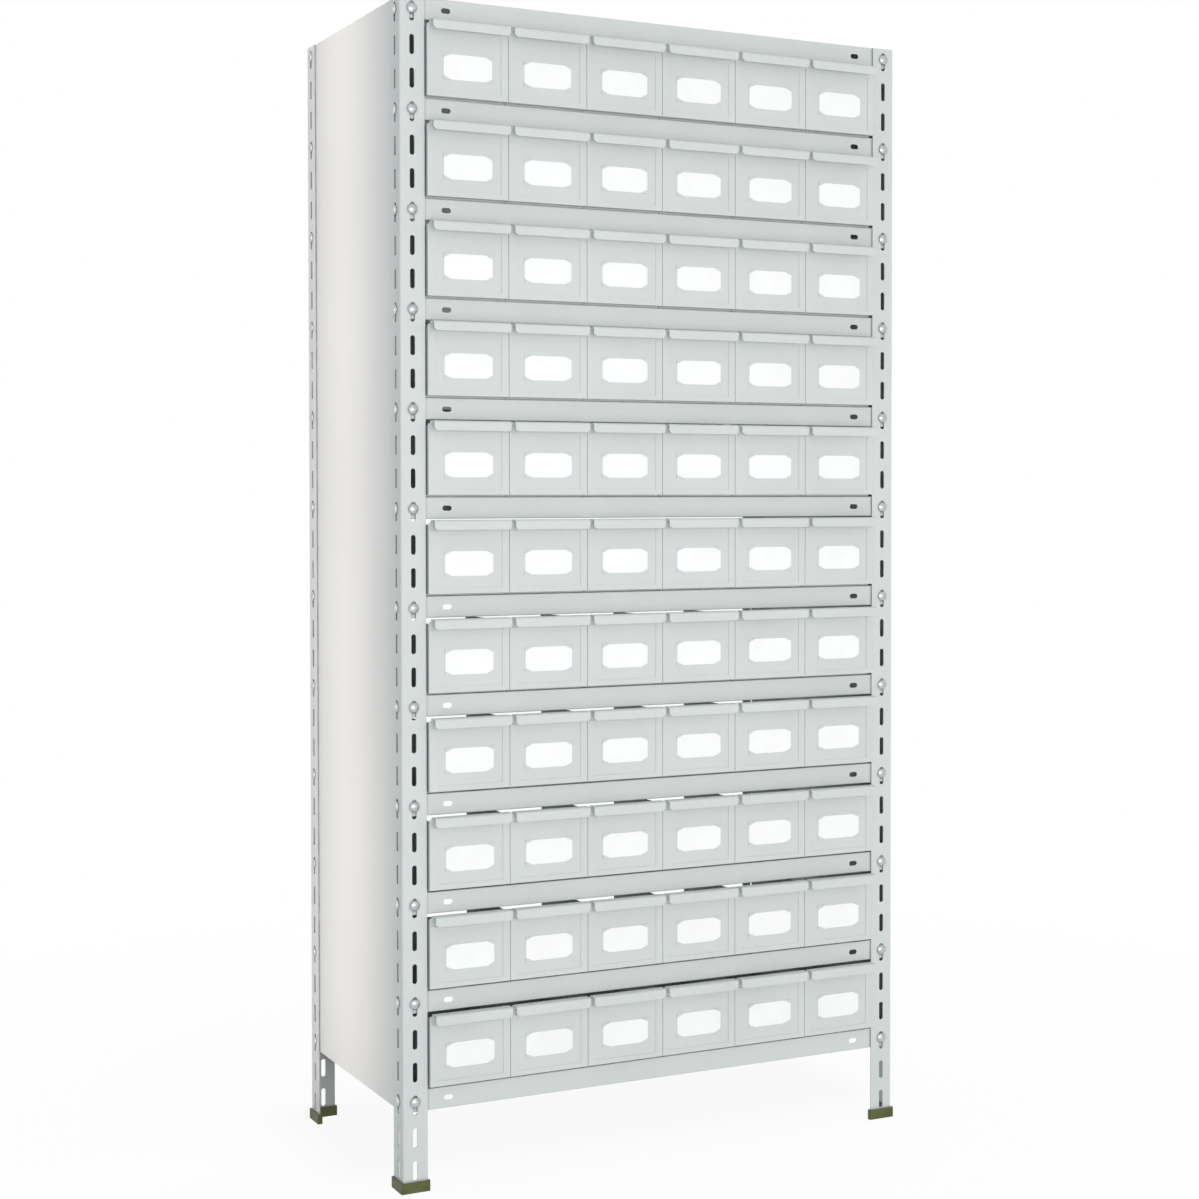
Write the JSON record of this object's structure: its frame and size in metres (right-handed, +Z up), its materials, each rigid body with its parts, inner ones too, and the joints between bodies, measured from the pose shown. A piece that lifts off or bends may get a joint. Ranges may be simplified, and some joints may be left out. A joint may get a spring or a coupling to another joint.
{
  "type": "steel shelving unit with drawers",
  "caption": "Slotted-angle steel shelving unit with bolted sheet shelves, side panels, an open back, foot caps and rows of small sheet steel drawers with folded pulls and label cards",
  "frame": {"origin": "on the floor, in the middle of the unit's outline in plan", "axes": "+Z up, the drawers open towards -Y, +X to the right of someone facing the drawers"},
  "size_m": [0.883, 0.478, 1.805],
  "materials": {
    "post_paint": "light grey powder coat",
    "shelf_paint": "light grey powder coat",
    "panel_paint": "light grey powder coat",
    "drawer_paint": "light grey powder coat",
    "zinc": "bright zinc plate",
    "foot_plastic": "dark olive moulded plastic"
  },
  "bodies": {
    "frame": {"post_front_left": "post_paint", "post_front_right": "post_paint", "post_rear_left": "post_paint", "post_rear_right": "post_paint", "foot_caps": "foot_plastic", "side_panel_left": "panel_paint", "side_panel_right": "panel_paint", "top_shelf": "shelf_paint", "middle_shelves": "shelf_paint", "bottom_shelf": "shelf_paint", "corner_bolts": "zinc", "corner_nuts": "zinc", "drawer_stops": "shelf_paint"},
    "drawer_r01_c1": {"drawer_r01_c1": "drawer_paint"},
    "drawer_r01_c2": {"drawer_r01_c2": "drawer_paint"},
    "drawer_r01_c3": {"drawer_r01_c3": "drawer_paint"},
    "drawer_r01_c4": {"drawer_r01_c4": "drawer_paint"},
    "drawer_r01_c5": {"drawer_r01_c5": "drawer_paint"},
    "drawer_r01_c6": {"drawer_r01_c6": "drawer_paint"},
    "drawer_r02_c1": {"drawer_r02_c1": "drawer_paint"},
    "drawer_r02_c2": {"drawer_r02_c2": "drawer_paint"},
    "drawer_r02_c3": {"drawer_r02_c3": "drawer_paint"},
    "drawer_r02_c4": {"drawer_r02_c4": "drawer_paint"},
    "drawer_r02_c5": {"drawer_r02_c5": "drawer_paint"},
    "drawer_r02_c6": {"drawer_r02_c6": "drawer_paint"},
    "drawer_r03_c1": {"drawer_r03_c1": "drawer_paint"},
    "drawer_r03_c2": {"drawer_r03_c2": "drawer_paint"},
    "drawer_r03_c3": {"drawer_r03_c3": "drawer_paint"},
    "drawer_r03_c4": {"drawer_r03_c4": "drawer_paint"},
    "drawer_r03_c5": {"drawer_r03_c5": "drawer_paint"},
    "drawer_r03_c6": {"drawer_r03_c6": "drawer_paint"},
    "drawer_r04_c1": {"drawer_r04_c1": "drawer_paint"},
    "drawer_r04_c2": {"drawer_r04_c2": "drawer_paint"},
    "drawer_r04_c3": {"drawer_r04_c3": "drawer_paint"},
    "drawer_r04_c4": {"drawer_r04_c4": "drawer_paint"},
    "drawer_r04_c5": {"drawer_r04_c5": "drawer_paint"},
    "drawer_r04_c6": {"drawer_r04_c6": "drawer_paint"},
    "drawer_r05_c1": {"drawer_r05_c1": "drawer_paint"},
    "drawer_r05_c2": {"drawer_r05_c2": "drawer_paint"},
    "drawer_r05_c3": {"drawer_r05_c3": "drawer_paint"},
    "drawer_r05_c4": {"drawer_r05_c4": "drawer_paint"},
    "drawer_r05_c5": {"drawer_r05_c5": "drawer_paint"},
    "drawer_r05_c6": {"drawer_r05_c6": "drawer_paint"},
    "drawer_r06_c1": {"drawer_r06_c1": "drawer_paint"},
    "drawer_r06_c2": {"drawer_r06_c2": "drawer_paint"},
    "drawer_r06_c3": {"drawer_r06_c3": "drawer_paint"},
    "drawer_r06_c4": {"drawer_r06_c4": "drawer_paint"},
    "drawer_r06_c5": {"drawer_r06_c5": "drawer_paint"},
    "drawer_r06_c6": {"drawer_r06_c6": "drawer_paint"},
    "drawer_r07_c1": {"drawer_r07_c1": "drawer_paint"},
    "drawer_r07_c2": {"drawer_r07_c2": "drawer_paint"},
    "drawer_r07_c3": {"drawer_r07_c3": "drawer_paint"},
    "drawer_r07_c4": {"drawer_r07_c4": "drawer_paint"},
    "drawer_r07_c5": {"drawer_r07_c5": "drawer_paint"},
    "drawer_r07_c6": {"drawer_r07_c6": "drawer_paint"},
    "drawer_row_08": {"drawer_row_08": "drawer_paint"},
    "drawer_row_09": {"drawer_row_09": "drawer_paint"},
    "drawer_row_10": {"drawer_row_10": "drawer_paint"},
    "drawer_row_11": {"drawer_row_11": "drawer_paint"}
  },
  "joints": [
    {"name": "drawer_r01_c1_slide", "type": "slide", "parent": "frame", "child": "drawer_r01_c1", "axis": [0, -1, 0], "range_m": [0, 0.12]},
    {"name": "drawer_r01_c2_slide", "type": "slide", "parent": "frame", "child": "drawer_r01_c2", "axis": [0, -1, 0], "range_m": [0, 0.12]},
    {"name": "drawer_r01_c3_slide", "type": "slide", "parent": "frame", "child": "drawer_r01_c3", "axis": [0, -1, 0], "range_m": [0, 0.12]},
    {"name": "drawer_r01_c4_slide", "type": "slide", "parent": "frame", "child": "drawer_r01_c4", "axis": [0, -1, 0], "range_m": [0, 0.12]},
    {"name": "drawer_r01_c5_slide", "type": "slide", "parent": "frame", "child": "drawer_r01_c5", "axis": [0, -1, 0], "range_m": [0, 0.12]},
    {"name": "drawer_r01_c6_slide", "type": "slide", "parent": "frame", "child": "drawer_r01_c6", "axis": [0, -1, 0], "range_m": [0, 0.12]},
    {"name": "drawer_r02_c1_slide", "type": "slide", "parent": "frame", "child": "drawer_r02_c1", "axis": [0, -1, 0], "range_m": [0, 0.12]},
    {"name": "drawer_r02_c2_slide", "type": "slide", "parent": "frame", "child": "drawer_r02_c2", "axis": [0, -1, 0], "range_m": [0, 0.12]},
    {"name": "drawer_r02_c3_slide", "type": "slide", "parent": "frame", "child": "drawer_r02_c3", "axis": [0, -1, 0], "range_m": [0, 0.12]},
    {"name": "drawer_r02_c4_slide", "type": "slide", "parent": "frame", "child": "drawer_r02_c4", "axis": [0, -1, 0], "range_m": [0, 0.12]},
    {"name": "drawer_r02_c5_slide", "type": "slide", "parent": "frame", "child": "drawer_r02_c5", "axis": [0, -1, 0], "range_m": [0, 0.12]},
    {"name": "drawer_r02_c6_slide", "type": "slide", "parent": "frame", "child": "drawer_r02_c6", "axis": [0, -1, 0], "range_m": [0, 0.12]},
    {"name": "drawer_r03_c1_slide", "type": "slide", "parent": "frame", "child": "drawer_r03_c1", "axis": [0, -1, 0], "range_m": [0, 0.12]},
    {"name": "drawer_r03_c2_slide", "type": "slide", "parent": "frame", "child": "drawer_r03_c2", "axis": [0, -1, 0], "range_m": [0, 0.12]},
    {"name": "drawer_r03_c3_slide", "type": "slide", "parent": "frame", "child": "drawer_r03_c3", "axis": [0, -1, 0], "range_m": [0, 0.12]},
    {"name": "drawer_r03_c4_slide", "type": "slide", "parent": "frame", "child": "drawer_r03_c4", "axis": [0, -1, 0], "range_m": [0, 0.12]},
    {"name": "drawer_r03_c5_slide", "type": "slide", "parent": "frame", "child": "drawer_r03_c5", "axis": [0, -1, 0], "range_m": [0, 0.12]},
    {"name": "drawer_r03_c6_slide", "type": "slide", "parent": "frame", "child": "drawer_r03_c6", "axis": [0, -1, 0], "range_m": [0, 0.12]},
    {"name": "drawer_r04_c1_slide", "type": "slide", "parent": "frame", "child": "drawer_r04_c1", "axis": [0, -1, 0], "range_m": [0, 0.12]},
    {"name": "drawer_r04_c2_slide", "type": "slide", "parent": "frame", "child": "drawer_r04_c2", "axis": [0, -1, 0], "range_m": [0, 0.12]},
    {"name": "drawer_r04_c3_slide", "type": "slide", "parent": "frame", "child": "drawer_r04_c3", "axis": [0, -1, 0], "range_m": [0, 0.12]},
    {"name": "drawer_r04_c4_slide", "type": "slide", "parent": "frame", "child": "drawer_r04_c4", "axis": [0, -1, 0], "range_m": [0, 0.12]},
    {"name": "drawer_r04_c5_slide", "type": "slide", "parent": "frame", "child": "drawer_r04_c5", "axis": [0, -1, 0], "range_m": [0, 0.12]},
    {"name": "drawer_r04_c6_slide", "type": "slide", "parent": "frame", "child": "drawer_r04_c6", "axis": [0, -1, 0], "range_m": [0, 0.12]},
    {"name": "drawer_r05_c1_slide", "type": "slide", "parent": "frame", "child": "drawer_r05_c1", "axis": [0, -1, 0], "range_m": [0, 0.12]},
    {"name": "drawer_r05_c2_slide", "type": "slide", "parent": "frame", "child": "drawer_r05_c2", "axis": [0, -1, 0], "range_m": [0, 0.12]},
    {"name": "drawer_r05_c3_slide", "type": "slide", "parent": "frame", "child": "drawer_r05_c3", "axis": [0, -1, 0], "range_m": [0, 0.12]},
    {"name": "drawer_r05_c4_slide", "type": "slide", "parent": "frame", "child": "drawer_r05_c4", "axis": [0, -1, 0], "range_m": [0, 0.12]},
    {"name": "drawer_r05_c5_slide", "type": "slide", "parent": "frame", "child": "drawer_r05_c5", "axis": [0, -1, 0], "range_m": [0, 0.12]},
    {"name": "drawer_r05_c6_slide", "type": "slide", "parent": "frame", "child": "drawer_r05_c6", "axis": [0, -1, 0], "range_m": [0, 0.12]},
    {"name": "drawer_r06_c1_slide", "type": "slide", "parent": "frame", "child": "drawer_r06_c1", "axis": [0, -1, 0], "range_m": [0, 0.12]},
    {"name": "drawer_r06_c2_slide", "type": "slide", "parent": "frame", "child": "drawer_r06_c2", "axis": [0, -1, 0], "range_m": [0, 0.12]},
    {"name": "drawer_r06_c3_slide", "type": "slide", "parent": "frame", "child": "drawer_r06_c3", "axis": [0, -1, 0], "range_m": [0, 0.12]},
    {"name": "drawer_r06_c4_slide", "type": "slide", "parent": "frame", "child": "drawer_r06_c4", "axis": [0, -1, 0], "range_m": [0, 0.12]},
    {"name": "drawer_r06_c5_slide", "type": "slide", "parent": "frame", "child": "drawer_r06_c5", "axis": [0, -1, 0], "range_m": [0, 0.12]},
    {"name": "drawer_r06_c6_slide", "type": "slide", "parent": "frame", "child": "drawer_r06_c6", "axis": [0, -1, 0], "range_m": [0, 0.12]},
    {"name": "drawer_r07_c1_slide", "type": "slide", "parent": "frame", "child": "drawer_r07_c1", "axis": [0, -1, 0], "range_m": [0, 0.12]},
    {"name": "drawer_r07_c2_slide", "type": "slide", "parent": "frame", "child": "drawer_r07_c2", "axis": [0, -1, 0], "range_m": [0, 0.12]},
    {"name": "drawer_r07_c3_slide", "type": "slide", "parent": "frame", "child": "drawer_r07_c3", "axis": [0, -1, 0], "range_m": [0, 0.12]},
    {"name": "drawer_r07_c4_slide", "type": "slide", "parent": "frame", "child": "drawer_r07_c4", "axis": [0, -1, 0], "range_m": [0, 0.12]},
    {"name": "drawer_r07_c5_slide", "type": "slide", "parent": "frame", "child": "drawer_r07_c5", "axis": [0, -1, 0], "range_m": [0, 0.12]},
    {"name": "drawer_r07_c6_slide", "type": "slide", "parent": "frame", "child": "drawer_r07_c6", "axis": [0, -1, 0], "range_m": [0, 0.12]},
    {"name": "drawer_row_08_slide", "type": "slide", "parent": "frame", "child": "drawer_row_08", "axis": [0, -1, 0], "range_m": [0, 0.12]},
    {"name": "drawer_row_09_slide", "type": "slide", "parent": "frame", "child": "drawer_row_09", "axis": [0, -1, 0], "range_m": [0, 0.12]},
    {"name": "drawer_row_10_slide", "type": "slide", "parent": "frame", "child": "drawer_row_10", "axis": [0, -1, 0], "range_m": [0, 0.12]},
    {"name": "drawer_row_11_slide", "type": "slide", "parent": "frame", "child": "drawer_row_11", "axis": [0, -1, 0], "range_m": [0, 0.12]}
  ]
}
